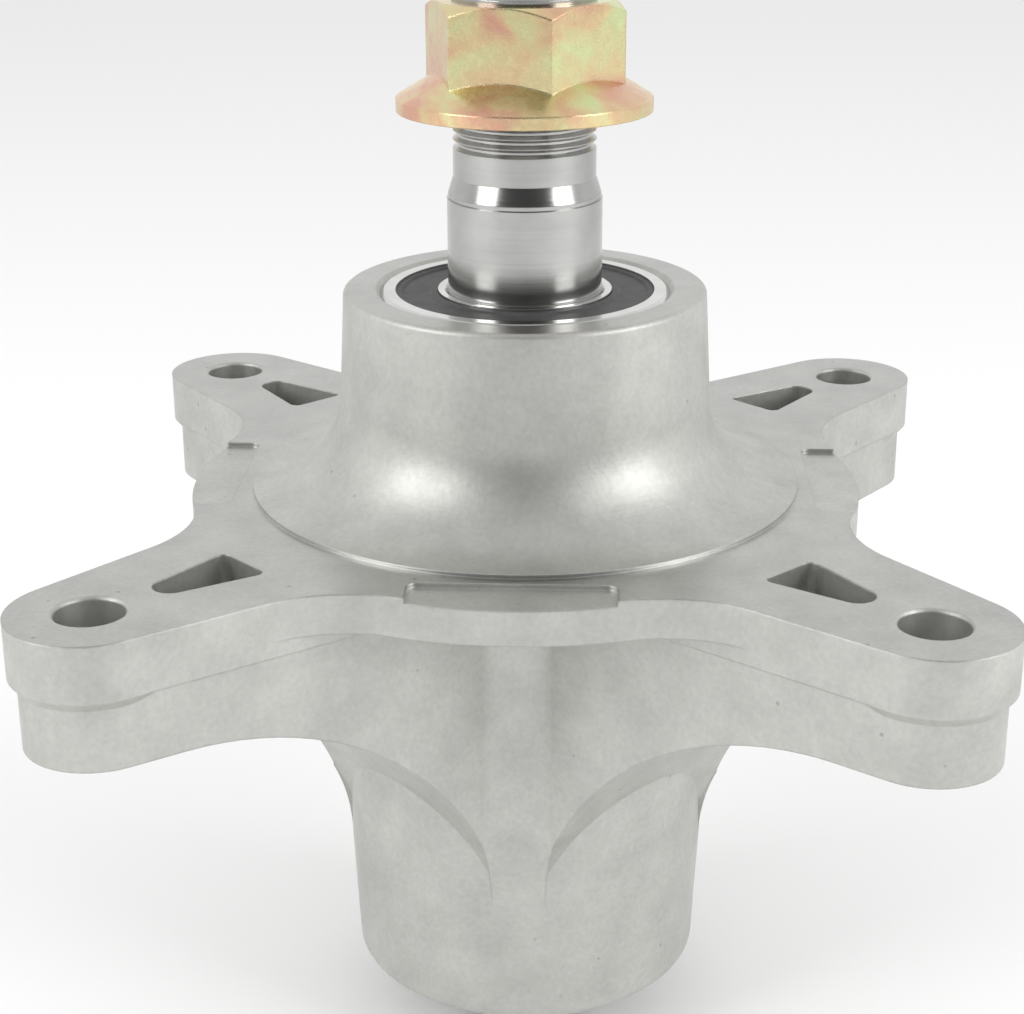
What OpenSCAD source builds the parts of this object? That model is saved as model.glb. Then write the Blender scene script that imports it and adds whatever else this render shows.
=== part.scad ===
// Blade spindle for a mower deck: a four-armed cast housing, two sealed ball
// bearings, and a shaft that carries the belt pulley above and the blade below.
// All sizes are in millimetres. The origin is the centre of the machined deck face,
// and +Z runs up the shaft to the pulley end.

/* [Deck bolts] */
// Distance between neighbouring deck bolts, the same both ways
bolt_spacing = 119; // [112:0.5:126]
// Clearance hole for each deck bolt
bolt_hole_d = 10.4; // [9:0.1:12]
// Broken edge at the mouth of a bolt hole
bolt_hole_edge = 0.4; // [0.2:0.1:0.8]

/* [Arms] */
// Radius of the arm tip above the parting line
tip_r = 12.3; // [11:0.1:14]
// Step inward at the parting line, at the arm tip
parting_step = 1.3; // [0.6:0.1:1.8]
// Depth of the parting line under the deck face
parting_z = 9.6; // [7.5:0.1:12]
// Height over which the parting step slopes
parting_slope = 1.6; // [0.8:0.1:2.4]
// Depth of the arm at its tip
arm_depth = 20; // [16:0.5:24]
// Distance from the axis to the corner between two arms, before its fillet
valley_r = 29.3; // [27:0.1:31]
// Fillet in the corner between two arms
valley_fillet = 9.5; // [6:0.5:12]
// Radius of the arch under each arm
arch_r = 55; // [48:1:60]
// Distance from the axis to where the arch starts
arch_start = 77.5; // [74:0.5:82]

/* [Arm slots] */
// Distance from the axis to the wide end of the slot
slot_start = 57.2; // [56:0.1:60]
// Length of the slot along the arm
slot_len = 16; // [12:0.5:18]
// Width of the slot at its wide end
slot_wide = 10.6; // [9:0.1:12]
// Width of the slot at its narrow end
slot_narrow = 5.8; // [5:0.1:7]
// Corner radius at the wide end of the slot
slot_corner = 1.4; // [0.8:0.1:2]
// Ledge inside the slot at the parting line
slot_ledge = 0.5; // [0.3:0.1:0.8]

/* [Flange disc] */
// Radius of the disc that joins the arms
disc_r = 55.4; // [53:0.1:58]
// Thickness of the disc
disc_t = 6.4; // [5:0.1:8]
// Fillet between the disc and an arm, seen from above
disc_fillet = 20; // [16:1:28]
// Distance from the axis to the straight edge of a rim relief
relief_start = 47.3; // [46.5:0.1:50]
// Half width of a rim relief
relief_half = 15.4; // [12:0.1:17]
// Depth of a rim relief
relief_depth = 0.8; // [0.4:0.1:1.5]
// Corner radius of a rim relief
relief_corner = 1.5; // [1:0.1:3]

/* [Upper boss] */
// Diameter of the pilot step that centres the housing in the deck hole
pilot_d = 90.8; // [88:0.1:92]
// Height of the pilot step above the deck face
pilot_h = 0.6; // [0.4:0.1:1.5]
// Radius of the flare between the pilot step and the boss
flare_r = 15; // [12:0.5:17]
// Height of the boss top above the deck face
boss_h = 32.7; // [28:0.1:38]
// Draft of the boss wall, in degrees
boss_draft = 3; // [1:0.1:4]
// Rounded outer edge of the boss top
boss_edge = 0.8; // [0.4:0.1:1.5]

/* [Lower body] */
// Depth of the housing's lower end under the deck face
body_depth = 87.5; // [78:0.5:98]
// Radius of the lower end
body_r = 30; // [29:0.1:31]
// Draft of the lower body, in degrees
body_draft = 2.4; // [1:0.1:3]
// Rounded edge at the lower end
body_edge = 2; // [1:0.1:3]
// Depth at which the webs have run out into the lower body
web_end = 66; // [62:0.5:70]
// Height over which the webs run out
web_fade = 20; // [16:0.5:24]
// Radius of the sweep in which the webs run out
web_run_r = 33; // [28:1:40]

/* [Bearings] */
// Bore of the bearing, which is the shaft journal
bearing_bore = 25; // [24:0.1:25.4]
// Outside diameter of the bearing
bearing_od = 47; // [46:0.1:48]
// Width of the bearing
bearing_w = 12; // [11.6:0.1:13]
// How far the bearing sits inside the mouth of its seat
bearing_recess = 0.2; // [0.1:0.1:1]
// Lead-in chamfer at the mouth of a bearing seat
seat_chamfer = 0.8; // [0.4:0.1:1.2]
// Height of the shoulder that the outer ring stands on
seat_shoulder = 3.3; // [2.5:0.1:4]
// Edge chamfer on the bearing rings
ring_edge = 0.6; // [0.3:0.1:0.8]
// Diameter of a ball
ball_d = 6.75; // [6.3:0.05:7]
// Number of balls
ball_n = 10; // [8:1:11]
// Diameter of the inner ring beside its raceway
inner_land_d = 30.8; // [30:0.1:32]
// Diameter of the inner ring's step under the seal lip
inner_step_d = 28.2; // [27.6:0.1:29.4]
// Inside diameter of the outer ring beside its raceway
outer_land_d = 41.2; // [40.6:0.1:41.8]
// Inside diameter of the outer ring where the seal is held
outer_step_d = 42; // [41.8:0.1:43]
// Thickness of a seal
seal_t = 0.9; // [0.6:0.1:1.1]
// Depth of a seal under the ring faces
seal_inset = 0.35; // [0.2:0.05:0.6]
// Sheet thickness of the riveted cage
cage_t = 0.6; // [0.5:0.05:0.8]
// Radial width of the cage ribbon
cage_w = 2.8; // [2.2:0.1:3.2]
// Diameter of a cage rivet
rivet_d = 1; // [0.8:0.1:1.2]

/* [Fits] */
// Running clearance between balls and raceways
ball_clear = 0.05; // [0.02:0.01:0.1]
// Clearance between a ball and its cage pocket
pocket_clear = 0.12; // [0.08:0.01:0.2]
// Running clearance under a seal lip
lip_clear = 0.08; // [0.03:0.01:0.1]
// Radial clearance of the spacer tube on the shaft
spacer_clear = 0.1; // [0.05:0.01:0.2]

/* [Shaft] */
// Diameter of the pulley journal above the upper bearing
pulley_d = 24.9; // [24:0.05:24.95]
// Height of the pulley journal's upper end above the deck face
journal_top = 47.4; // [44:0.1:50]
// Width of the tool groove at the journal's upper end
groove_w = 0.7; // [0.4:0.1:1.2]
// Depth of that groove
groove_depth = 0.35; // [0.2:0.05:0.6]
// Height of the band above the groove
lead_band = 0.6; // [0.4:0.1:2]
// Height of the lead cone that runs in to the neck
lead_cone = 2.2; // [1.5:0.1:4]
// Outside diameter of the thread and of the plain neck under it
thread_d = 22.8; // [21.6:0.1:23.6]
// Pitch of the thread
thread_pitch = 1.5; // [1.25:0.05:2]
// Number of thread turns that show under the nut
thread_under = 4; // [2:1:4]
// Length of thread that stands out above the nut
thread_over = 2.2; // [1:0.1:5]
// Chamfer at the upper end of the shaft
end_chamfer = 1.5; // [1:0.1:2]
// Wall of the spacer tube between the inner rings
spacer_wall = 2.6; // [2:0.1:3]

/* [Blade end] */
// Diameter of the shoulder that carries the lower inner ring
shoulder_d = 30; // [29:0.1:32]
// Gap between the housing's lower end and the blade collar
blade_gap = 2.5; // [2:0.1:4]
// Diameter of the collar that the blade is clamped against
collar_d = 36; // [33:0.5:38]
// Thickness of the blade collar
collar_t = 5; // [4:0.1:6]
// Edge chamfer on the blade collar
collar_edge = 0.6; // [0.4:0.1:1]
// Diameter of the pilot that centres the blade
blade_pilot_d = 24; // [20:0.5:26]
// Length of the blade pilot
blade_pilot_h = 4; // [3:0.1:5]
// Tapping-size hole for the blade bolt
blade_hole_d = 10.2; // [8.5:0.1:12]
// Depth of the blade bolt hole
blade_hole_depth = 32; // [25:1:40]
// Countersink at the mouth of the blade bolt hole
blade_hole_edge = 0.8; // [0.5:0.1:1.5]

/* [Flange nut] */
// Height of the nut's seat above the deck face
nut_z = 61.3; // [58:0.1:66]
// Width across the nut's flats
nut_af = 28; // [27:0.1:32]
// Height of the nut
nut_h = 17; // [15:0.5:20]
// Diameter of the nut's flange
nut_flange_d = 40.6; // [38:0.1:43]
// Thickness of the flange at its rim
nut_rim = 2; // [1.5:0.1:2.6]
// Slope of the flange's upper face, in degrees
nut_slope = 31; // [25:1:35]
// Chamfer angle at the nut's upper end, in degrees
nut_chamfer = 35; // [25:1:40]
// How far the hexagon is turned about the shaft, in degrees
nut_turn = -13; // [-30:1:30]

/* [Hidden] */

$fn = 96;
arms = 4;
arm_turn = 360 / arms;
// margin by which a cut runs past the face it opens
over = 1;
// how far a fillet reaches into the walls beside it, so that they cross and don't just touch
bite = 0.01;
// the fillets beside the arms end this far above the disc's lower face
fillet_rise = 0.1;

// arms: the tip is concentric with its bolt hole
arm_reach = bolt_spacing / sqrt(2);
low_tip_r = tip_r - parting_step;
valley_s = valley_r / sqrt(2);

// housing levels
parting_top = -parting_z + parting_slope / 2;
parting_bottom = -parting_z - parting_slope / 2;
pilot_r = pilot_d / 2;
flare_z = pilot_h + flare_r;
boss_foot_r = pilot_r - flare_r;
boss_top_r = boss_foot_r - (boss_h - flare_z) * tan(boss_draft);
web_fade_z = -web_end + web_fade;
body_top_r = body_r + (body_depth - web_end) * tan(body_draft);

// bearing levels
upper_top = boss_h - bearing_recess;
upper_bottom = upper_top - bearing_w;
lower_bottom = -body_depth + bearing_recess;
lower_top = lower_bottom + bearing_w;
bearing_r = bearing_od / 2;
journal_r = bearing_bore / 2;
pulley_r = pulley_d / 2;
pitch_r = (bearing_bore + bearing_od) / 4;
ball_r = ball_d / 2;
race_r = ball_r + ball_clear;
seal_z = bearing_w / 2 - seal_inset - seal_t;
pocket_r = ball_r + pocket_clear;

// shaft levels
thread_r = thread_d / 2;
shaft_top = nut_z + nut_h + thread_over;
collar_top = -body_depth - blade_gap;
blade_face = collar_top - collar_t;
shaft_bottom = blade_face - blade_pilot_h;
// a thread groove is deep enough for flanks at 60 degrees, with flats at crest and root
thread_depth = thread_pitch * 0.54;
thread_turns = thread_under + floor((shaft_top - end_chamfer - nut_z) / thread_pitch);
thread_low = nut_z - thread_under * thread_pitch;

// half angle by which an arm widens towards the hub, for a given tip radius
function taper(r) = atan2(valley_s, arm_reach - valley_s)
    - asin(r / norm([arm_reach - valley_s, valley_s]));

// points along an arc, from angle a0 to a1
function arc(cx, cy, r, a0, a1, steps) = [
    for (i = [0 : steps]) let (a = a0 + (a1 - a0) * i / steps)
        [cx + r * cos(a), cy + r * sin(a)]
];

// outline of one arm from the axis to its rounded tip
module arm_outline(r) {
    t = taper(r);
    root = (arm_reach * sin(t) + r) / cos(t);
    polygon([
        [0, -root], [arm_reach + r * sin(t), -r * cos(t)],
        [arm_reach + r * sin(t), r * cos(t)], [0, root]
    ]);
    translate([arm_reach, 0]) circle(r);
}

// fills the corner between two arms up to its fillet, with the corner on +X
module valley_fill() {
    t = taper(low_tip_r);
    a = 45 - t;
    centre = valley_r + (valley_fillet - bite) / cos(a);
    polygon(concat(
        [[valley_s, 0]],
        arc(centre, 0, valley_fillet, 180 + a, 180 - a, 16)
    ));
}

// fills the corner between the disc and one side of an arm, with the arm on +X
module disc_fill() {
    t = taper(tip_r);
    k = arm_reach * sin(t) + tip_r;
    q = disc_r + disc_fillet - bite;
    // direction of the fillet's centre, seen from the axis
    a = 90 - t - acos((k + disc_fillet - bite) / q);
    centre = q * [cos(a), sin(a)];
    inside = [(disc_r - disc_t) * cos(a / 2), 0];
    polygon(concat(
        [inside],
        arc(centre[0], centre[1], disc_fillet, -90 - t, a - 180, 16)
    ));
}

// slot through an arm: a wedge with rounded corners, narrow end outward
module slot_outline(shrink) {
    r_in = slot_corner;
    r_out = slot_narrow / 2 - shrink;
    x_out = slot_start + slot_len - slot_narrow / 2;
    x_in = slot_start + shrink + r_in;
    y_in = slot_wide / 2 - shrink - r_in;
    // direction of the normal on the slot's sloping side
    a = atan2(-y_in, x_out - x_in) + acos((r_in - r_out) / norm([x_out - x_in, y_in]));
    polygon(concat(
        arc(x_out, 0, r_out, -a, a, 16),
        arc(x_in, y_in, r_in, a, 180, 8),
        arc(x_in, -y_in, r_in, 180, 360 - a, 8)
    ));
}

// everything above the parting line: arms, disc and their fillets
module upper_plate() {
    for (i = [0 : arms - 1]) rotate(45 + i * arm_turn) {
        translate([0, 0, parting_top]) linear_extrude(-parting_top) arm_outline(tip_r);
        translate([0, 0, fillet_rise - disc_t]) linear_extrude(disc_t - fillet_rise) {
            disc_fill();
            mirror([0, 1]) disc_fill();
        }
        // the sloping part of the parting step
        translate([arm_reach, 0, parting_bottom])
            cylinder(h = parting_slope, r1 = low_tip_r, r2 = tip_r);
    }
    translate([0, 0, -disc_t]) cylinder(h = disc_t, r = disc_r);
}

// the arms below the parting line, each cut by the arch under it
module lower_webs() {
    for (i = [0 : arms - 1]) {
        rotate(45 + i * arm_turn) difference() {
            translate([0, 0, -web_end])
                linear_extrude(web_end + parting_top) arm_outline(low_tip_r);
            translate([arch_start, 0, -arm_depth - arch_r])
                rotate([90, 0, 0])
                    cylinder(h = 4 * valley_r, r = arch_r, center = true, $fn = 180);
            translate([arch_start, -2 * valley_r, -web_end - over])
                cube([arm_reach, 4 * valley_r, web_end + over - arm_depth]);
        }
        rotate(i * arm_turn) translate([0, 0, -web_end])
            linear_extrude(web_end + parting_top) valley_fill();
    }
}

// limits the webs to a turned sweep near their lower end, so they run out into the body
module web_limit() {
    wide = arm_reach + tip_r + over;
    rotate_extrude() polygon(concat(
        [[0, -web_end]],
        arc(body_top_r + web_run_r, -web_end, web_run_r,
            180, 180 - asin(web_fade / web_run_r), 24),
        [[wide, web_fade_z], [wide, over], [0, over]]
    ));
}

// the turned profile: lower body, hub, pilot step, flare and boss
module hub() {
    rotate_extrude() polygon(concat(
        [[0, -body_depth]],
        arc(body_r - body_edge, -body_depth + body_edge, body_edge, -90, -body_draft, 8),
        [[body_top_r, -web_end], [body_top_r, 0], [pilot_r, 0], [pilot_r, pilot_h]],
        arc(pilot_r, flare_z, flare_r, 270, 180, 32),
        arc(boss_top_r - boss_edge, boss_h - boss_edge, boss_edge, 0, 90, 6),
        [[0, boss_h]]
    ));
}

// one bearing seat, cut from its mouth at z = 0 upward into the part
module bearing_seat() {
    depth = bearing_recess + bearing_w;
    translate([0, 0, -over]) cylinder(h = depth + over, r = bearing_r);
    translate([0, 0, -over])
        cylinder(h = seat_chamfer + over, r1 = bearing_r + seat_chamfer + over, r2 = bearing_r);
}

// shallow relief in the rim of the disc, on +X
module rim_relief() {
    wide = disc_r + disc_fillet;
    translate([0, 0, -relief_depth]) {
        translate([relief_start + relief_corner, -relief_half, 0])
            cube([wide, 2 * relief_half, relief_depth + over]);
        translate([relief_start, -relief_half + relief_corner, 0])
            cube([wide, 2 * (relief_half - relief_corner), relief_depth + over]);
        for (s = [-1, 1])
            translate([relief_start + relief_corner, s * (relief_half - relief_corner), 0])
                cylinder(h = relief_depth + over, r = relief_corner);
    }
}

// cuts of one arm: its bolt hole and its slot
module arm_cuts() {
    translate([arm_reach, 0, -arm_depth - over])
        cylinder(h = arm_depth + 2 * over, d = bolt_hole_d);
    translate([arm_reach, 0, -bolt_hole_edge])
        cylinder(h = bolt_hole_edge + over,
            d1 = bolt_hole_d, d2 = bolt_hole_d + 2 * (bolt_hole_edge + over));
    translate([0, 0, -parting_z]) linear_extrude(parting_z + over) slot_outline(0);
    translate([0, 0, -web_end]) linear_extrude(web_end) slot_outline(slot_ledge);
}

module spindle_housing() {
    color("#b4b5b2") difference() {
        union() {
            hub();
            upper_plate();
            intersection() {
                lower_webs();
                web_limit();
            }
        }
        for (i = [0 : arms - 1]) {
            rotate(45 + i * arm_turn) arm_cuts();
            rotate(i * arm_turn) rim_relief();
        }
        translate([0, 0, -body_depth]) bearing_seat();
        translate([0, 0, boss_h]) mirror([0, 0, 1]) bearing_seat();
        translate([0, 0, -body_depth - over])
            cylinder(h = body_depth + boss_h + 2 * over, r = bearing_r - seat_shoulder);
    }
}

// profile of the thread turns, from the lowest crest upward
function thread_profile() = [
    for (i = [0 : thread_turns - 1], p = [[0, 1 / 16], [1, 3 / 8], [1, 5 / 8], [0, 15 / 16]])
        [thread_r - p[0] * thread_depth, thread_low + (i + p[1]) * thread_pitch]
];

// the shaft is one turned piece from the blade pilot to the threaded end
module spindle_shaft() {
    collar_r = collar_d / 2;
    shoulder_r = shoulder_d / 2;
    blade_pilot_r = blade_pilot_d / 2;
    groove_top = journal_top + groove_w;
    groove_r = pulley_r - groove_depth;
    lead_top = groove_top + lead_band;
    color("#5f6062") difference() {
        rotate_extrude() polygon(concat(
            [
                [0, shaft_bottom], [blade_pilot_r - collar_edge, shaft_bottom],
                [blade_pilot_r, shaft_bottom + collar_edge], [blade_pilot_r, blade_face],
                [collar_r - collar_edge, blade_face], [collar_r, blade_face + collar_edge],
                [collar_r, collar_top - collar_edge], [collar_r - collar_edge, collar_top],
                [shoulder_r, collar_top], [shoulder_r, lower_bottom], [journal_r, lower_bottom],
                [journal_r, upper_top], [pulley_r, upper_top], [pulley_r, journal_top],
                [groove_r, journal_top], [groove_r, groove_top],
                [pulley_r - groove_depth / 2, groove_top], [groove_r, lead_top],
                [thread_r, lead_top + lead_cone]
            ],
            thread_profile(),
            [
                [thread_r, shaft_top - end_chamfer], [thread_r - end_chamfer, shaft_top],
                [0, shaft_top]
            ]
        ));
        translate([0, 0, shaft_bottom - over])
            cylinder(h = blade_hole_depth + over, d = blade_hole_d);
        translate([0, 0, shaft_bottom - over])
            cylinder(h = blade_hole_edge + over,
                d1 = blade_hole_d + 2 * (blade_hole_edge + over), d2 = blade_hole_d);
        translate([0, 0, shaft_bottom + blade_hole_depth])
            cylinder(h = blade_hole_d / 4, d1 = blade_hole_d, d2 = 0);
    }
}

// hexagon nut with its flange in one piece, chamfered at the upper end
module flange_nut() {
    rim_r = nut_flange_d / 2;
    corner_r = nut_af / sqrt(3);
    cone_h = rim_r * tan(nut_slope);
    color("#b99a5c") translate([0, 0, nut_z]) rotate(nut_turn) difference() {
        union() {
            cylinder(h = nut_rim, r = rim_r);
            translate([0, 0, nut_rim]) cylinder(h = cone_h, r1 = rim_r, r2 = 0);
            intersection() {
                cylinder(h = nut_h, r = corner_r, $fn = 6);
                rotate_extrude() polygon([
                    [0, 0], [corner_r + over, 0],
                    [corner_r + over, nut_h - (corner_r + over - nut_af / 2) * tan(nut_chamfer)],
                    [nut_af / 2 - end_chamfer / 4, nut_h + end_chamfer / 4 * tan(nut_chamfer)],
                    [0, nut_h + end_chamfer / 4 * tan(nut_chamfer)]
                ]);
            }
        }
        translate([0, 0, -over]) cylinder(h = nut_h + 2 * over, r = thread_r);
        translate([0, 0, nut_h]) cylinder(h = nut_h, r = rim_r);
    }
}

// tube that keeps the two inner rings apart
module bearing_spacer() {
    bore_r = journal_r + spacer_clear;
    color("#8d8f90") translate([0, 0, lower_top]) difference() {
        cylinder(h = upper_bottom - lower_top, r = bore_r + spacer_wall);
        translate([0, 0, -over])
            cylinder(h = upper_bottom - lower_top + 2 * over, r = bore_r);
    }
}

// the pieces of one bearing are drawn about its middle plane

module outer_ring() {
    land = outer_land_d / 2;
    step = outer_step_d / 2;
    half = bearing_w / 2;
    e = ring_edge;
    color("#c9ccce") rotate_extrude() difference() {
        polygon([
            [land, -seal_z], [step, -seal_z], [step, -half], [bearing_r - e, -half],
            [bearing_r, -half + e], [bearing_r, half - e], [bearing_r - e, half],
            [step, half], [step, seal_z], [land, seal_z]
        ]);
        translate([pitch_r, 0]) circle(race_r);
    }
}

module inner_ring() {
    land = inner_land_d / 2;
    step = inner_step_d / 2;
    half = bearing_w / 2;
    e = ring_edge;
    color("#cfd2d4") rotate_extrude() difference() {
        polygon([
            [journal_r + e, -half], [step, -half], [step, -seal_z], [land, -seal_z],
            [land, seal_z], [step, seal_z], [step, half], [journal_r + e, half],
            [journal_r, half - e], [journal_r, -half + e]
        ]);
        translate([pitch_r, 0]) circle(race_r);
    }
}

module balls() {
    color("#dfe2e4") for (i = [0 : ball_n - 1])
        rotate(i * 360 / ball_n) translate([pitch_r, 0, 0]) sphere(ball_r);
}

// one pressed half of the cage: a flat ribbon that bulges over each ball
module cage_half() {
    color("#9a9388") difference() {
        intersection() {
            union() {
                cylinder(h = cage_t, r = pitch_r + cage_w / 2);
                for (i = [0 : ball_n - 1])
                    rotate(i * 360 / ball_n) translate([pitch_r, 0, 0])
                        sphere(pocket_r + cage_t);
            }
            difference() {
                cylinder(h = bearing_w, r = pitch_r + cage_w / 2);
                translate([0, 0, -over])
                    cylinder(h = bearing_w + 2 * over, r = pitch_r - cage_w / 2);
            }
        }
        for (i = [0 : ball_n - 1]) {
            rotate(i * 360 / ball_n) translate([pitch_r, 0, 0]) sphere(pocket_r);
            rotate((i + 0.5) * 360 / ball_n) translate([pitch_r, 0, -over])
                cylinder(h = cage_t + 2 * over, d = rivet_d);
        }
    }
}

module cage_rivets() {
    head = rivet_d * 0.45;
    color("#8a847a") for (i = [0 : ball_n - 1])
        rotate((i + 0.5) * 360 / ball_n) translate([pitch_r, 0, 0]) {
            cylinder(h = 2 * cage_t, d = rivet_d, center = true);
            for (s = [0, 1]) mirror([0, 0, s]) translate([0, 0, cage_t])
                cylinder(h = head, d1 = rivet_d * 1.7, d2 = rivet_d);
        }
}

// rubber seal between the rings, with its outside face up
module seal() {
    lip_r = inner_step_d / 2 + lip_clear;
    edge_r = outer_step_d / 2;
    rib = seal_t / 3;
    color("#2e2f30") translate([0, 0, seal_z]) rotate_extrude() polygon([
        [lip_r, 0], [edge_r, 0], [edge_r, seal_t], [edge_r - seal_t, seal_t],
        [edge_r - 1.5 * seal_t, seal_t - rib], [lip_r + 1.5 * seal_t, seal_t - rib],
        [lip_r + seal_t, seal_t], [lip_r, seal_t]
    ]);
}

module at_upper() { translate([0, 0, upper_top - bearing_w / 2]) children(); }
module at_lower() { translate([0, 0, lower_bottom + bearing_w / 2]) children(); }

spindle_housing();
spindle_shaft();
flange_nut();
bearing_spacer();
at_upper() outer_ring();  // upper_outer_ring
at_upper() inner_ring();  // upper_inner_ring
at_upper() balls();  // upper_balls
at_upper() cage_half();  // upper_cage_top
at_upper() mirror([0, 0, 1]) cage_half();  // upper_cage_bottom
at_upper() cage_rivets();  // upper_cage_rivets
at_upper() seal();  // upper_seal_top
at_upper() mirror([0, 0, 1]) seal();  // upper_seal_bottom
at_lower() outer_ring();  // lower_outer_ring
at_lower() inner_ring();  // lower_inner_ring
at_lower() balls();  // lower_balls
at_lower() cage_half();  // lower_cage_top
at_lower() mirror([0, 0, 1]) cage_half();  // lower_cage_bottom
at_lower() cage_rivets();  // lower_cage_rivets
at_lower() seal();  // lower_seal_top
at_lower() mirror([0, 0, 1]) seal();  // lower_seal_bottom
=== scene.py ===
"""A mower-deck blade spindle: its casting, turned parts and bearings get their finishes, and a
plain studio is set up at the photograph's viewing angle.

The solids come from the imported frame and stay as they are. Everything is in metres, with the
origin at the centre of the machined deck face and +Z up the shaft.
"""
import math

import bpy
from mathutils import Matrix, Vector


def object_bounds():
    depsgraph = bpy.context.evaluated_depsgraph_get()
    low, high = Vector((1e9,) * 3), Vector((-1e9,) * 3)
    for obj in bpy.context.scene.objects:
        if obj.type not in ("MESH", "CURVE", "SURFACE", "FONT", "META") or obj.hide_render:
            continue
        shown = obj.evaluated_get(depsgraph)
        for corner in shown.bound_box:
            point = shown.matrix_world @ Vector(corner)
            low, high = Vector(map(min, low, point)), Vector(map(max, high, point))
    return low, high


bl_info = {
    "name": "Mower deck spindle",
    "version": (1, 0, 0),
    "blender": (4, 5, 0),
    "location": "3D View > Sidebar > Spindle",
    "description": "Finishes a mower-deck blade spindle and sets up its studio",
    "category": "Object",
}

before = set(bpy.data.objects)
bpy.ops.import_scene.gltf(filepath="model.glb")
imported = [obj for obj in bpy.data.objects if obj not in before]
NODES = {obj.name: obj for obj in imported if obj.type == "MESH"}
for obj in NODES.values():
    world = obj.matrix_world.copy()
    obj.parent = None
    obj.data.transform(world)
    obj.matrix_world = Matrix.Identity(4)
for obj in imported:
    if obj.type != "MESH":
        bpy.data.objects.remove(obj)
CAD_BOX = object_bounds()
MM = 0.001

# levels of the housing's faced surfaces
DECK_Z = 0.0
BOSS_Z = max(corner[2] for corner in NODES["spindle_housing"].bound_box)
FACE_REACH = 0.02 * MM

# towards the camera, level with the floor
FRONT = (0.047, -0.999, 0.0)
WHITE = (1, 1, 1, 1)
# how bright the room is in reflections: from behind the object (0) round to the camera (1)
ROOM_DARK = (0.06, 0.06, 0.062, 1)
ROOM_TONES = ((0.40, 0.95), (0.55, 0.72), (0.72, 0.34), (0.88, 0.1))
FILL_LIGHT = 0.9
SOFTBOXES = (("left softbox", (-0.9, -0.55, 0.55)), ("right softbox", (0.95, -0.45, 0.5)))
FLOOR_GAP = 0.2 * MM


def linear(hex_colour):
    """An sRGB hex colour as linear RGBA."""
    channels = [int(hex_colour[i:i + 2], 16) / 255 for i in (1, 3, 5)]
    return [c / 12.92 if c <= 0.04045 else ((c + 0.055) / 1.055) ** 2.4 for c in channels] + [1.0]


def tint(hex_colour):
    """The same as a tuple of three, for a colour property."""
    return tuple(linear(hex_colour)[:3])


def add(tree, kind, settings=None, **inputs):
    """Adds one node. settings are its attributes, and inputs are values or sockets. An input
    goes by its name, with _ for a space, or by i and its place."""
    made = tree.nodes.new(kind)
    for key, value in (settings or {}).items():
        setattr(made, key, value)
    for key, value in inputs.items():
        by_place = key[0] == "i" and key[1:].isdigit()
        socket = made.inputs[int(key[1:])] if by_place else made.inputs[key.replace("_", " ")]
        if isinstance(value, bpy.types.NodeSocket):
            tree.links.new(value, socket)
        else:
            socket.default_value = value
    return made


def blank(name):
    """An empty material, its tree and its output node."""
    material = bpy.data.materials.new(name)
    material.use_nodes = True
    material.node_tree.nodes.clear()
    return material, material.node_tree, material.node_tree.nodes.new("ShaderNodeOutputMaterial")


def paint(node_name, material):
    """Puts a material in every slot of a carried-over node."""
    mesh = NODES[node_name].data
    if not mesh.materials:
        mesh.materials.append(material)
    for i in range(len(mesh.materials)):
        mesh.materials[i] = material


def radius_of(tree, place):
    """Distance from the shaft's axis, and height, both in metres."""
    split = add(tree, "ShaderNodeSeparateXYZ", Vector=place)
    flat = add(tree, "ShaderNodeCombineXYZ", X=split.outputs["X"], Y=split.outputs["Y"])
    far = add(tree, "ShaderNodeVectorMath", {"operation": "LENGTH"}, i0=flat.outputs[0])
    return far.outputs["Value"], split.outputs["Z"]


def near(tree, value, target, reach):
    """1 where value is within reach of target, else 0."""
    return add(tree, "ShaderNodeMath", {"operation": "COMPARE"}, i0=value, i1=target, i2=reach).outputs[0]


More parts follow.
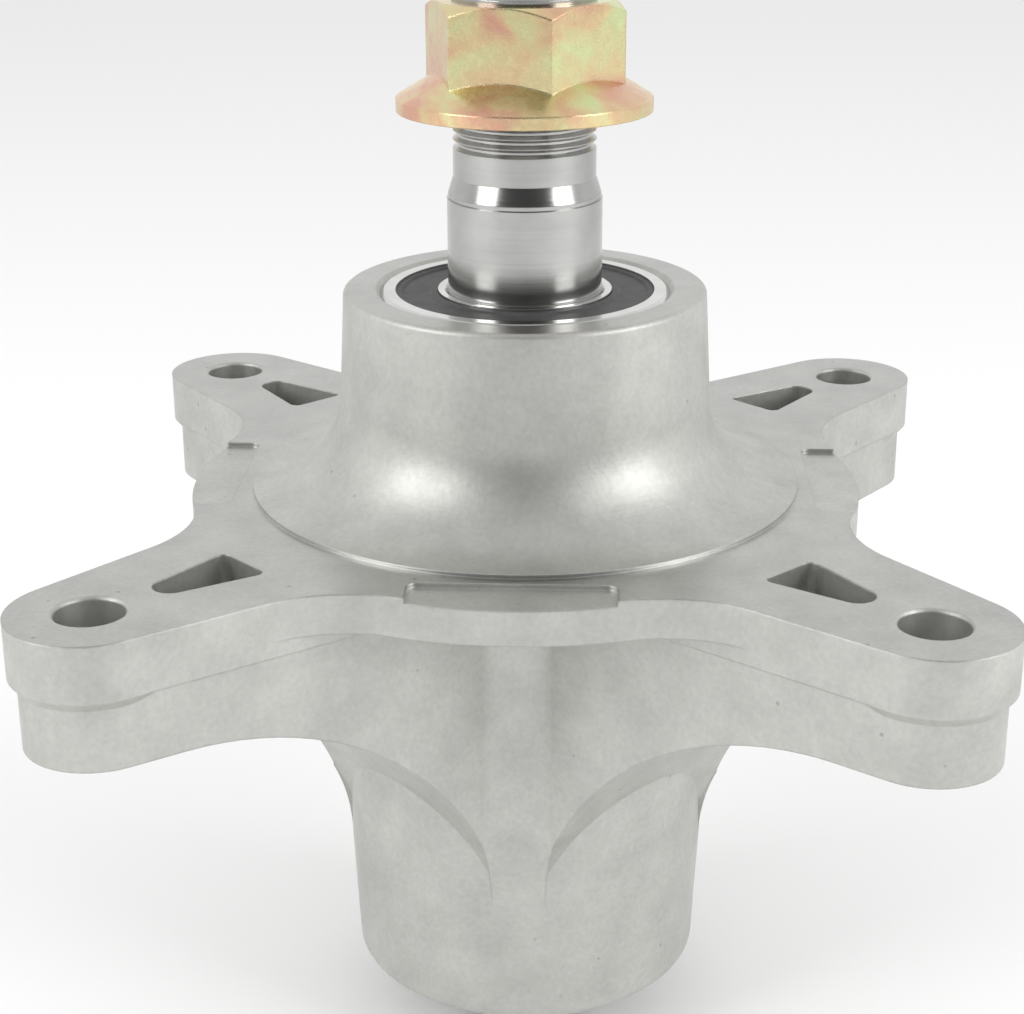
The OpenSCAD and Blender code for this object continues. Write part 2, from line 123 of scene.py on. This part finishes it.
class SpindleSizes(bpy.types.PropertyGroup):
    """Sizes of the finishes and the studio"""

    grit: bpy.props.FloatProperty(
        name="Blast grain", description="Width of one dimple in the blasted casting skin",
        default=0.9 * MM, min=0.2 * MM, max=3 * MM, unit="LENGTH")
    grit_depth: bpy.props.FloatProperty(
        name="Grain depth", description="Depth of the dimples in the blasted casting skin",
        default=0.05 * MM, min=0.0, max=0.3 * MM, unit="LENGTH")
    blotch: bpy.props.FloatProperty(
        name="Cold-flow blotch", description="Width of a faint blotch in the casting's tone",
        default=9 * MM, min=2 * MM, max=30 * MM, unit="LENGTH")
    pore_gap: bpy.props.FloatProperty(
        name="Pinhole spacing", description="Distance between pinholes in the casting",
        default=7 * MM, min=2 * MM, max=30 * MM, unit="LENGTH")
    edge_round: bpy.props.FloatProperty(
        name="Cast edge", description="Radius that softens the casting's edges",
        default=0.5 * MM, min=0.0, max=2 * MM, unit="LENGTH")
    step_r: bpy.props.FloatProperty(
        name="Pilot radius", description="Radius of the machined pilot step on the deck face",
        default=45.4 * MM, min=30 * MM, max=60 * MM, unit="LENGTH")
    step_h: bpy.props.FloatProperty(
        name="Pilot height", description="Height of the machined pilot step",
        default=0.62 * MM, min=0.1 * MM, max=3 * MM, unit="LENGTH")
    tool_pitch: bpy.props.FloatProperty(
        name="Facing feed", description="Distance between the tool's rings on a faced surface",
        default=0.7 * MM, min=0.2 * MM, max=2 * MM, unit="LENGTH")
    bloom: bpy.props.FloatProperty(
        name="Zinc bloom", description="Width of a patch of one hue in the passivation",
        default=11 * MM, min=2 * MM, max=30 * MM, unit="LENGTH")
    floor: bpy.props.FloatProperty(
        name="Floor", description="Width of the studio floor", default=6.0, min=1, max=20,
        unit="LENGTH")
    lamp_power: bpy.props.FloatProperty(
        name="Softbox power", description="Power of each softbox", default=6.0, min=0, max=100)
    lamp_width: bpy.props.FloatProperty(
        name="Softbox width", description="Width of each softbox", default=0.6, min=0.1, max=2,
        unit="LENGTH")
    lens: bpy.props.FloatProperty(
        name="Lens", description="Focal length in mm, on a 36 mm wide sensor", default=71.01,
        min=20, max=200)
    camera_place: bpy.props.FloatVectorProperty(
        name="Camera", description="Where the camera stands", size=3, subtype="XYZ",
        default=(12.889 * MM, -319.493 * MM, 114.150 * MM), unit="LENGTH")
    camera_turn: bpy.props.FloatVectorProperty(
        name="Camera turn", description="Pitch, turn and roll of the camera, in degrees", size=3,
        default=(69.458, 2.712, -0.236))


class SpindleColours(bpy.types.PropertyGroup):
    """Colours of the finishes"""

    casting: bpy.props.FloatVectorProperty(
        name="Casting", description="Blasted aluminium skin", subtype="COLOR",
        size=3, min=0, max=1, default=tint("#C4C4C0"))
    machined: bpy.props.FloatVectorProperty(
        name="Machined face", description="Faced aluminium", subtype="COLOR",
        size=3, min=0, max=1, default=tint("#B9B9B6"))
    shaft: bpy.props.FloatVectorProperty(
        name="Shaft", description="Ground carbon steel", subtype="COLOR",
        size=3, min=0, max=1, default=tint("#B0B0AE"))
    zinc_gold: bpy.props.FloatVectorProperty(
        name="Zinc, gold", description="Yellow passivation, main tone", subtype="COLOR",
        size=3, min=0, max=1, default=tint("#DCC79A"))
    zinc_green: bpy.props.FloatVectorProperty(
        name="Zinc, green", description="Yellow passivation, green bloom", subtype="COLOR",
        size=3, min=0, max=1, default=tint("#D3DBA6"))
    zinc_pink: bpy.props.FloatVectorProperty(
        name="Zinc, pink", description="Yellow passivation, pink bloom", subtype="COLOR",
        size=3, min=0, max=1, default=tint("#D9A890"))
    bearing: bpy.props.FloatVectorProperty(
        name="Bearing steel", description="Ground bearing steel", subtype="COLOR",
        size=3, min=0, max=1, default=tint("#D2D2D0"))
    seal: bpy.props.FloatVectorProperty(
        name="Seal", description="Moulded nitrile rubber", subtype="COLOR",
        size=3, min=0, max=1, default=tint("#3A3B3B"))


def cast_aluminium(sizes, colours):
    """Die-cast aluminium, shot-blasted, with its seat faces machined after casting.

    Blasting leaves a satin skin of tiny dimples, with faint blotches where the melt met the
    mould. The faced surfaces are smoother, with fine rings from the tool.
    """
    material, tree, out = blank("blasted cast aluminium")
    place = add(tree, "ShaderNodeTexCoord").outputs["Object"]
    radius, height = radius_of(tree, place)

    # which skin is machined: the deck face, the step's wall and the boss's top
    deck = near(tree, height, DECK_Z, FACE_REACH)
    boss = near(tree, height, BOSS_Z, FACE_REACH)
    step_wall = near(tree, radius, sizes.step_r, 3 * FACE_REACH)
    low = near(tree, height, DECK_Z, sizes.step_h)
    step = add(tree, "ShaderNodeMath", {"operation": "MULTIPLY"}, i0=step_wall, i1=low).outputs[0]
    faced = add(tree, "ShaderNodeMath", {"operation": "MAXIMUM"}, i0=deck, i1=boss).outputs[0]
    machined = add(tree, "ShaderNodeMath", {"operation": "MAXIMUM"}, i0=faced, i1=step).outputs[0]

    grain = add(tree, "ShaderNodeTexNoise", Vector=place, Scale=1 / sizes.grit, Detail=3.0,
                Roughness=0.6).outputs["Fac"]
    blotch = add(tree, "ShaderNodeTexNoise", Vector=place, Scale=1 / sizes.blotch, Detail=4.0,
                 Roughness=0.55).outputs["Fac"]
    # a pinhole is about a tenth as wide as the distance to the next
    pores = add(tree, "ShaderNodeTexVoronoi", Vector=place, Scale=1 / sizes.pore_gap, Randomness=1.0)
    pore = add(tree, "ShaderNodeMapRange", Value=pores.outputs["Distance"], From_Min=0.035,
               From_Max=0.06, To_Min=1.0, To_Max=0.0).outputs[0]

    tone = add(tree, "ShaderNodeMapRange", Value=blotch, From_Min=0.3, From_Max=0.7,
               To_Min=0.9, To_Max=1.06).outputs[0]
    speck = add(tree, "ShaderNodeMapRange", Value=grain, From_Min=0.3, From_Max=0.7,
                To_Min=0.94, To_Max=1.05).outputs[0]
    # painted shade: the colour is darker inside each pinhole, standing in for the shade in the hole
    pinhole_shade = add(tree, "ShaderNodeMapRange", Value=pore, To_Min=1.0, To_Max=0.72).outputs[0]
    mottle = add(tree, "ShaderNodeMath", {"operation": "MULTIPLY"}, i0=tone, i1=speck).outputs[0]
    shade = add(tree, "ShaderNodeMath", {"operation": "MULTIPLY"}, i0=mottle, i1=pinhole_shade).outputs[0]
    base = add(tree, "ShaderNodeMix", {"data_type": "RGBA"}, i0=machined,
               i6=(*colours.casting, 1), i7=(*colours.machined, 1)).outputs[2]
    colour = add(tree, "ShaderNodeVectorMath", {"operation": "SCALE"}, i0=base, Scale=shade).outputs[0]
    rough = add(tree, "ShaderNodeMapRange", Value=machined, To_Min=0.52, To_Max=0.36).outputs[0]

    # rings of the facing tool, drawn wider apart than real ones so that they show
    turns = add(tree, "ShaderNodeMath", {"operation": "MULTIPLY"}, i0=radius,
                i1=2 * math.pi / sizes.tool_pitch).outputs[0]
    rings = add(tree, "ShaderNodeMath", {"operation": "SINE"}, i0=turns).outputs[0]
    cut = add(tree, "ShaderNodeMath", {"operation": "MULTIPLY"}, i0=rings, i1=0.12).outputs[0]
    skin = add(tree, "ShaderNodeMix", {"data_type": "FLOAT"}, i0=machined, i2=grain, i3=cut).outputs[0]
    deep = add(tree, "ShaderNodeMath", {"operation": "SUBTRACT"}, i0=skin, i1=pore).outputs[0]
    edges = add(tree, "ShaderNodeBevel", {"samples": 6}, Radius=sizes.edge_round)
    bump = add(tree, "ShaderNodeBump", Strength=0.6, Distance=sizes.grit_depth, Height=deep,
               Normal=edges.outputs[0])
    metal = add(tree, "ShaderNodeBsdfPrincipled", Base_Color=colour, Metallic=1.0,
                Roughness=rough, Normal=bump.outputs[0])
    tree.links.new(metal.outputs[0], out.inputs["Surface"])
    return material


def ground_steel(name, colour, roughness, pitch, depth):
    """Steel turned or ground about the shaft's axis: fine rings, and a satin shine."""
    material, tree, out = blank(name)
    place = add(tree, "ShaderNodeTexCoord").outputs["Object"]
    radius, height = radius_of(tree, place)
    along = add(tree, "ShaderNodeCombineXYZ", X=radius, Z=height).outputs[0]
    rings = add(tree, "ShaderNodeTexNoise", Vector=along, Scale=1 / pitch, Detail=3.0).outputs["Fac"]
    stain = add(tree, "ShaderNodeTexNoise", Vector=place, Scale=1 / (6 * MM), Detail=4.0).outputs["Fac"]
    rough = add(tree, "ShaderNodeMapRange", Value=rings, From_Min=0.3, From_Max=0.7,
                To_Min=roughness * 0.85, To_Max=roughness * 1.2).outputs[0]
    tone = add(tree, "ShaderNodeMapRange", Value=stain, From_Min=0.3, From_Max=0.7,
               To_Min=0.9, To_Max=1.05).outputs[0]
    shade = add(tree, "ShaderNodeVectorMath", {"operation": "SCALE"}, i0=tuple(colour), Scale=tone)
    edges = add(tree, "ShaderNodeBevel", {"samples": 4}, Radius=0.15 * MM)
    bump = add(tree, "ShaderNodeBump", Strength=0.5, Distance=depth, Height=rings,
               Normal=edges.outputs[0])
    metal = add(tree, "ShaderNodeBsdfPrincipled", Base_Color=shade.outputs[0], Metallic=1.0,
                Roughness=rough, Normal=bump.outputs[0])
    tree.links.new(metal.outputs[0], out.inputs["Surface"])
    return material


def yellow_zinc(sizes, colours):
    """Zinc-plated steel with a yellow passivation, which blooms from gold to green and pink."""
    material, tree, out = blank("yellow passivated zinc")
    place = add(tree, "ShaderNodeTexCoord").outputs["Object"]
    bloom = add(tree, "ShaderNodeTexNoise", Vector=place, Scale=1 / sizes.bloom, Detail=2.0,
                Distortion=0.6).outputs["Fac"]
    ramp = add(tree, "ShaderNodeValToRGB", Fac=bloom)
    stops = ramp.color_ramp.elements
    stops[0].position, stops[0].color = 0.34, (*colours.zinc_green, 1)
    stops[1].position, stops[1].color = 0.66, (*colours.zinc_pink, 1)
    stops.new(0.5).color = (*colours.zinc_gold, 1)
    cloud = add(tree, "ShaderNodeTexNoise", Vector=place, Scale=1 / (1.2 * MM), Detail=3.0).outputs["Fac"]
    rough = add(tree, "ShaderNodeMapRange", Value=cloud, From_Min=0.3, From_Max=0.7,
                To_Min=0.2, To_Max=0.34).outputs[0]
    edges = add(tree, "ShaderNodeBevel", {"samples": 6}, Radius=0.4 * MM)
    bump = add(tree, "ShaderNodeBump", Strength=0.3, Distance=0.03 * MM, Height=cloud,
               Normal=edges.outputs[0])
    metal = add(tree, "ShaderNodeBsdfPrincipled", Base_Color=ramp.outputs[0], Metallic=1.0,
                Roughness=rough, Normal=bump.outputs[0])
    tree.links.new(metal.outputs[0], out.inputs["Surface"])
    return material


def nitrile_rubber(colours):
    """Moulded nitrile rubber: matt and nearly black, with faint rings from its mould."""
    material, tree, out = blank("moulded nitrile rubber")
    place = add(tree, "ShaderNodeTexCoord").outputs["Object"]
    radius, height = radius_of(tree, place)
    along = add(tree, "ShaderNodeCombineXYZ", X=radius, Z=height).outputs[0]
    rings = add(tree, "ShaderNodeTexNoise", Vector=along, Scale=1 / (0.5 * MM), Detail=2.0).outputs["Fac"]
    dust = add(tree, "ShaderNodeTexNoise", Vector=place, Scale=1 / (2.5 * MM), Detail=5.0).outputs["Fac"]
    tone = add(tree, "ShaderNodeMapRange", Value=dust, From_Min=0.35, From_Max=0.75,
               To_Min=0.85, To_Max=1.5).outputs[0]
    shade = add(tree, "ShaderNodeVectorMath", {"operation": "SCALE"}, i0=tuple(colours.seal), Scale=tone)
    bump = add(tree, "ShaderNodeBump", Strength=0.5, Distance=0.05 * MM, Height=rings)
    rubber = add(tree, "ShaderNodeBsdfPrincipled", Base_Color=shade.outputs[0], Roughness=0.55,
                 IOR=1.5, Normal=bump.outputs[0])
    tree.links.new(rubber.outputs[0], out.inputs["Surface"])
    return material


def studio_camera(scene, sizes):
    """The camera at the photograph's viewing angle."""
    camera = bpy.data.objects.new("camera", bpy.data.cameras.new("camera"))
    scene.collection.objects.link(camera)
    camera.data.lens = sizes.lens
    camera.data.sensor_width = 36
    camera.data.clip_start = 0.01
    camera.location = sizes.camera_place
    pitch, turn, roll = (math.radians(v) for v in sizes.camera_turn)
    spin = Matrix.Rotation(turn, 3, "Z") @ Matrix.Rotation(pitch, 3, "X") @ Matrix.Rotation(roll, 3, "Z")
    camera.rotation_mode = "XYZ"
    camera.rotation_euler = spin.to_euler()
    scene.camera = camera


def studio_world(scene):
    """White to the camera, even to matt surfaces, and dark on the camera's side in metal."""
    world = bpy.data.worlds.new("studio")
    scene.world = world
    world.use_nodes = True
    tree = world.node_tree
    tree.nodes.clear()
    out = tree.nodes.new("ShaderNodeOutputWorld")
    path = add(tree, "ShaderNodeLightPath")
    way = add(tree, "ShaderNodeTexCoord").outputs["Generated"]
    facing = add(tree, "ShaderNodeVectorMath", {"operation": "DOT_PRODUCT"}, i0=way,
                 i1=FRONT).outputs["Value"]
    half = add(tree, "ShaderNodeMapRange", Value=facing, From_Min=-1.0, From_Max=1.0).outputs[0]
    ramp = add(tree, "ShaderNodeValToRGB", Fac=half)
    stops = ramp.color_ramp.elements
    stops[0].position, stops[0].color = 0.0, WHITE
    stops[1].position, stops[1].color = 1.0, ROOM_DARK
    for spot, grey in ROOM_TONES:
        stops.new(spot).color = (grey, grey, grey, 1)
    shine = add(tree, "ShaderNodeBackground", Color=ramp.outputs[0], Strength=1.0)
    fill = add(tree, "ShaderNodeBackground", Color=WHITE, Strength=FILL_LIGHT)
    white = add(tree, "ShaderNodeBackground", Color=WHITE, Strength=1.0)
    lit = add(tree, "ShaderNodeMixShader", i0=path.outputs["Is Glossy Ray"],
              i1=fill.outputs[0], i2=shine.outputs[0])
    seen = add(tree, "ShaderNodeMixShader", i0=path.outputs["Is Camera Ray"],
               i1=lit.outputs[0], i2=white.outputs[0])
    tree.links.new(seen.outputs[0], out.inputs["Surface"])


class SPINDLE_OT_housing(bpy.types.Operator):
    """Finishes the cast housing"""

    bl_idname = "spindle.housing"
    bl_label = "Housing"

    def execute(self, context):
        scene = context.scene
        paint("spindle_housing", cast_aluminium(scene.spindle_sizes, scene.spindle_colours))
        return {"FINISHED"}


class SPINDLE_OT_shaft(bpy.types.Operator):
    """Finishes the shaft and the spacer tube"""

    bl_idname = "spindle.shaft"
    bl_label = "Shaft and spacer"

    def execute(self, context):
        colour = context.scene.spindle_colours.shaft
        paint("spindle_shaft", ground_steel("ground carbon steel", colour, 0.2, 0.35 * MM, 0.01 * MM))
        paint("bearing_spacer", ground_steel("drawn steel tube", colour, 0.35, 0.5 * MM, 0.01 * MM))
        return {"FINISHED"}


class SPINDLE_OT_nut(bpy.types.Operator):
    """Finishes the flange nut"""

    bl_idname = "spindle.nut"
    bl_label = "Flange nut"

    def execute(self, context):
        paint("flange_nut", yellow_zinc(context.scene.spindle_sizes, context.scene.spindle_colours))
        return {"FINISHED"}


class SPINDLE_OT_bearings(bpy.types.Operator):
    """Finishes both ball bearings"""

    bl_idname = "spindle.bearings"
    bl_label = "Bearings"

    def execute(self, context):
        colours = context.scene.spindle_colours
        rings = ground_steel("ground bearing steel", colours.bearing, 0.16, 0.3 * MM, 0.005 * MM)
        balls = ground_steel("polished bearing steel", colours.bearing, 0.05, 2 * MM, 0.001 * MM)
        sheet = ground_steel("pressed steel sheet", colours.bearing, 0.4, 0.8 * MM, 0.01 * MM)
        rubber = nitrile_rubber(colours)
        for side in ("upper_", "lower_"):
            for name, material in (("outer_ring", rings), ("inner_ring", rings), ("balls", balls),
                                   ("cage_top", sheet), ("cage_bottom", sheet), ("cage_rivets", sheet),
                                   ("seal_top", rubber), ("seal_bottom", rubber)):
                paint(side + name, material)
        return {"FINISHED"}


class SPINDLE_OT_studio(bpy.types.Operator):
    """Sets up the camera, the floor and the light"""

    bl_idname = "spindle.studio"
    bl_label = "Studio"

    def execute(self, context):
        scene = context.scene
        sizes = scene.spindle_sizes
        scene.view_settings.view_transform = "Standard"
        studio_camera(scene, sizes)

        # the floor lies just under the blade pilot
        bpy.ops.object.select_all(action="DESELECT")
        bpy.ops.mesh.primitive_plane_add(size=sizes.floor, location=(0, 0, CAD_BOX[0][2] - FLOOR_GAP))
        floor = context.active_object
        floor.name = "floor"
        material, tree, out = blank("pale studio floor")
        cloth = add(tree, "ShaderNodeBsdfDiffuse", Color=linear("#F0F0F0"))
        tree.links.new(cloth.outputs[0], out.inputs["Surface"])
        floor.data.materials.append(material)

        studio_world(scene)
        for name, place in SOFTBOXES:
            lamp = bpy.data.lights.new(name, "AREA")
            lamp.energy, lamp.size = sizes.lamp_power, sizes.lamp_width
            stand = bpy.data.objects.new(name, lamp)
            scene.collection.objects.link(stand)
            stand.location = place
            stand.rotation_euler = (-Vector(place)).to_track_quat("-Z", "Y").to_euler()
        return {"FINISHED"}


class SPINDLE_PT_panel(bpy.types.Panel):
    """Lists the spindle's steps, sizes and colours"""

    bl_idname = "SPINDLE_PT_panel"
    bl_label = "Mower deck spindle"
    bl_space_type = "VIEW_3D"
    bl_region_type = "UI"
    bl_category = "Spindle"

    def draw(self, context):
        for step in STEPS:
            self.layout.operator(step.bl_idname)
        for group in (context.scene.spindle_sizes, context.scene.spindle_colours):
            for key in group.bl_rna.properties.keys():
                if key not in ("rna_type", "name"):
                    self.layout.prop(group, key)


STEPS = (SPINDLE_OT_housing, SPINDLE_OT_shaft, SPINDLE_OT_nut, SPINDLE_OT_bearings, SPINDLE_OT_studio)
CLASSES = (SpindleSizes, SpindleColours, *STEPS, SPINDLE_PT_panel)


def register():
    for cls in CLASSES:
        bpy.utils.register_class(cls)
    bpy.types.Scene.spindle_sizes = bpy.props.PointerProperty(type=SpindleSizes)
    bpy.types.Scene.spindle_colours = bpy.props.PointerProperty(type=SpindleColours)


def unregister():
    del bpy.types.Scene.spindle_colours
    del bpy.types.Scene.spindle_sizes
    for cls in reversed(CLASSES):
        bpy.utils.unregister_class(cls)


def main():
    register()
    bpy.ops.spindle.housing()
    bpy.ops.spindle.shaft()
    bpy.ops.spindle.nut()
    bpy.ops.spindle.bearings()
    bpy.ops.spindle.studio()


if __name__ == "__main__":
    main()
